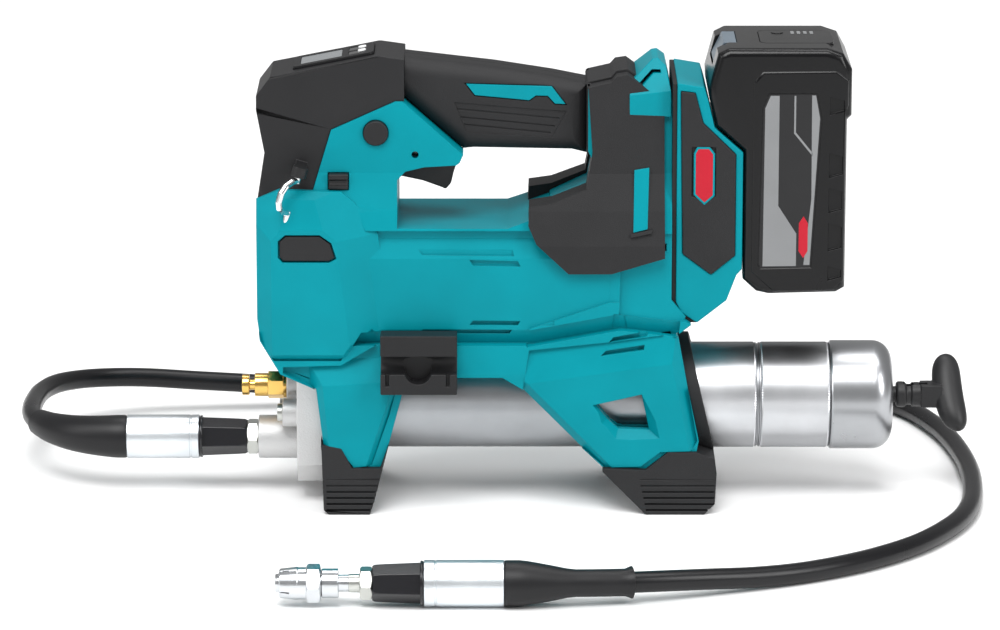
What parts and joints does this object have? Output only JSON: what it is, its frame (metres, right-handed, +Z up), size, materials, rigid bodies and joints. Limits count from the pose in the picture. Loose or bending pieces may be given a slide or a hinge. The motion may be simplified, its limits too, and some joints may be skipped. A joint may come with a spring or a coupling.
{
  "type": "battery grease gun",
  "caption": "Battery grease gun: clamshell body with top grip and trigger, grease barrel through its legs, cast pump head, slide-on battery and a free hose with a grease coupler.",
  "frame": {"origin": "on the floor under the middle of the tool's length, between the feet, in the plane where the two casing shells meet", "axes": "+X along the barrel from the hose end to the battery end, +Y across the tool away from the side that carries the hose clip, +Z up"},
  "size_m": [0.5564, 0.4503, 0.2654],
  "materials": {
    "teal_shell": "fine spark-eroded texture",
    "black_overmould": "soft matt texture",
    "black_plastic": "moulded texture",
    "screen": "clear window over a grey display",
    "white_plastic": "smooth",
    "red_plate": "gloss label",
    "chrome_wire": "bright plate",
    "steel": "ground",
    "barrel_steel": "zinc plate, knurled behind the casing",
    "zinc_plate": "bright zinc",
    "cast_head": "as cast, shot blasted",
    "brass_valve": "turned",
    "copper_windings": "enamelled",
    "circuit_board": "potted board",
    "cell_wrap": "shrink film",
    "battery_black": "fine texture",
    "latch_grey": "smooth",
    "hose_rubber": "smooth synthetic rubber",
    "black_nylon": "moulded"
  },
  "bodies": {
    "casing": {"housing_near": "teal_shell", "housing_far": "teal_shell", "display_cover": "black_plastic", "display_panel": "screen", "grip_near": "black_overmould", "grip_far": "black_overmould", "rear_cover_near": "black_overmould", "rear_cover_far": "black_overmould", "seam_gasket": "black_overmould", "battery_mount": "teal_shell", "mount_bumpers": "black_overmould", "badges": "red_plate", "terminal_block": "black_plastic", "strap_hook": "teal_shell", "side_bumpers": "black_overmould", "hose_holder": "black_plastic", "front_foot": "black_overmould", "rear_foot": "black_overmould", "barrel_collar": "black_overmould", "housing_screws": "steel", "trigger_pin": "steel", "switch": "black_plastic", "controller": "circuit_board", "motor_stator": "copper_windings", "bearings": "steel", "gearbox_case": "cast_head", "pump_head": "cast_head", "head_bolts": "zinc_plate", "bleed_valve": "brass_valve", "rear_hose_nut": "zinc_plate", "rear_sleeve": "zinc_plate", "rear_boot": "black_nylon", "hose": "hose_rubber", "front_boot": "black_nylon", "front_sleeve": "zinc_plate", "front_hose_nut": "zinc_plate", "coupler": "steel"},
    "mode_button": {"mode_button": "white_plastic"},
    "menu_button": {"menu_button": "white_plastic"},
    "strap_ring": {"strap_ring": "chrome_wire"},
    "trigger": {"trigger": "black_plastic"},
    "lock_button": {"lock_button": "black_plastic"},
    "lock_slide": {"lock_slide": "black_plastic"},
    "rotor": {"motor_rotor": "steel"},
    "layshaft": {"layshaft": "steel"},
    "crank": {"crank": "steel"},
    "plunger": {"plunger": "steel"},
    "bleed_button": {"bleed_button": "brass_valve"},
    "barrel": {"barrel_tube": "barrel_steel", "barrel_cap": "barrel_steel", "follower_spring": "steel"},
    "follower": {"follower": "black_plastic"},
    "rod": {"follower_rod": "black_nylon"},
    "battery": {"battery_case": "battery_black", "battery_cells": "cell_wrap"},
    "battery_latch": {"battery_latch": "latch_grey"},
    "gauge_button": {"gauge_button": "black_plastic"},
    "coupler_collar": {"coupler_collar": "steel"}
  },
  "joints": [
    {"name": "trigger_pull", "type": "hinge", "parent": "casing", "child": "trigger", "pos_m": [-0.108, 0, 0.203], "axis": [0, -1, 0], "range_deg": [0, 10], "stiffness_Nm_per_rad": 0.4, "springref_deg": -20.05},
    {"name": "lock_button_push", "type": "slide", "parent": "casing", "child": "lock_button", "axis": [0, 1, 0], "range_m": [0, 0.003]},
    {"name": "lock_slide_press", "type": "slide", "parent": "casing", "child": "lock_slide", "axis": [0, 1, 0], "range_m": [0, 0.0015], "stiffness_N_per_m": 600, "springref_m": -0.002},
    {"name": "mode_press", "type": "slide", "parent": "casing", "child": "mode_button", "axis": [0.1925, 0, -0.9813], "range_m": [0, 0.0008], "stiffness_N_per_m": 500, "springref_m": -0.001},
    {"name": "menu_press", "type": "slide", "parent": "casing", "child": "menu_button", "axis": [0.1925, 0, -0.9813], "range_m": [0, 0.0008], "stiffness_N_per_m": 500, "springref_m": -0.001},
    {"name": "ring_swing", "type": "hinge", "parent": "casing", "child": "strap_ring", "pos_m": [-0.1765, -0.042, 0.182], "axis": [0.2807, 0, 0.9598], "range_deg": [-45, 45]},
    {"name": "crank_spin", "type": "hinge", "parent": "casing", "child": "crank", "pos_m": [0, 0, 0.127], "axis": [1, 0, 0], "continuous": true},
    {"name": "layshaft_spin", "type": "hinge", "parent": "casing", "child": "layshaft", "pos_m": [0, 0, 0.152], "axis": [1, 0, 0], "continuous": true},
    {"name": "rotor_spin", "type": "hinge", "parent": "casing", "child": "rotor", "pos_m": [0, 0, 0.127], "axis": [1, 0, 0], "continuous": true},
    {"name": "plunger_stroke", "type": "slide", "parent": "casing", "child": "plunger", "axis": [0, 0, 1], "range_m": [0, 0.024]},
    {"name": "bleed_press", "type": "slide", "parent": "casing", "child": "bleed_button", "axis": [1, 0, 0], "range_m": [0, 0.0025], "stiffness_N_per_m": 500, "springref_m": -0.003},
    {"name": "barrel_draw", "type": "slide", "parent": "casing", "child": "barrel", "axis": [1, 0, 0], "range_m": [0, 0.26]},
    {"name": "rod_draw", "type": "slide", "parent": "barrel", "child": "rod", "axis": [1, 0, 0], "range_m": [0, 0.2]},
    {"name": "follower_draw", "type": "slide", "parent": "barrel", "child": "follower", "axis": [1, 0, 0], "range_m": [0, 0.2], "deforming": ["follower_spring"]},
    {"name": "battery_slide", "type": "slide", "parent": "casing", "child": "battery", "axis": [0, 0, 1], "range_m": [0, 0.15]},
    {"name": "latch_press", "type": "slide", "parent": "battery", "child": "battery_latch", "axis": [0, 0, -1], "range_m": [0, 0.003], "stiffness_N_per_m": 600, "springref_m": -0.003},
    {"name": "gauge_press", "type": "slide", "parent": "battery", "child": "gauge_button", "axis": [0, 0, -1], "range_m": [0, 0.0008], "stiffness_N_per_m": 500, "springref_m": -0.001},
    {"name": "coupler_turn", "type": "hinge", "parent": "casing", "child": "coupler_collar", "pos_m": [-0.16, -0.226, 0.0128], "axis": [1, 0, 0], "range_deg": [0, 90]}
  ],
  "couplings": [
    {"joint": "layshaft_spin", "follows": "crank_spin", "ratio": -3.1667},
    {"joint": "rotor_spin", "follows": "crank_spin", "ratio": 12.667},
    {"joint": "follower_draw", "follows": "rod_draw", "ratio": 1}
  ]
}
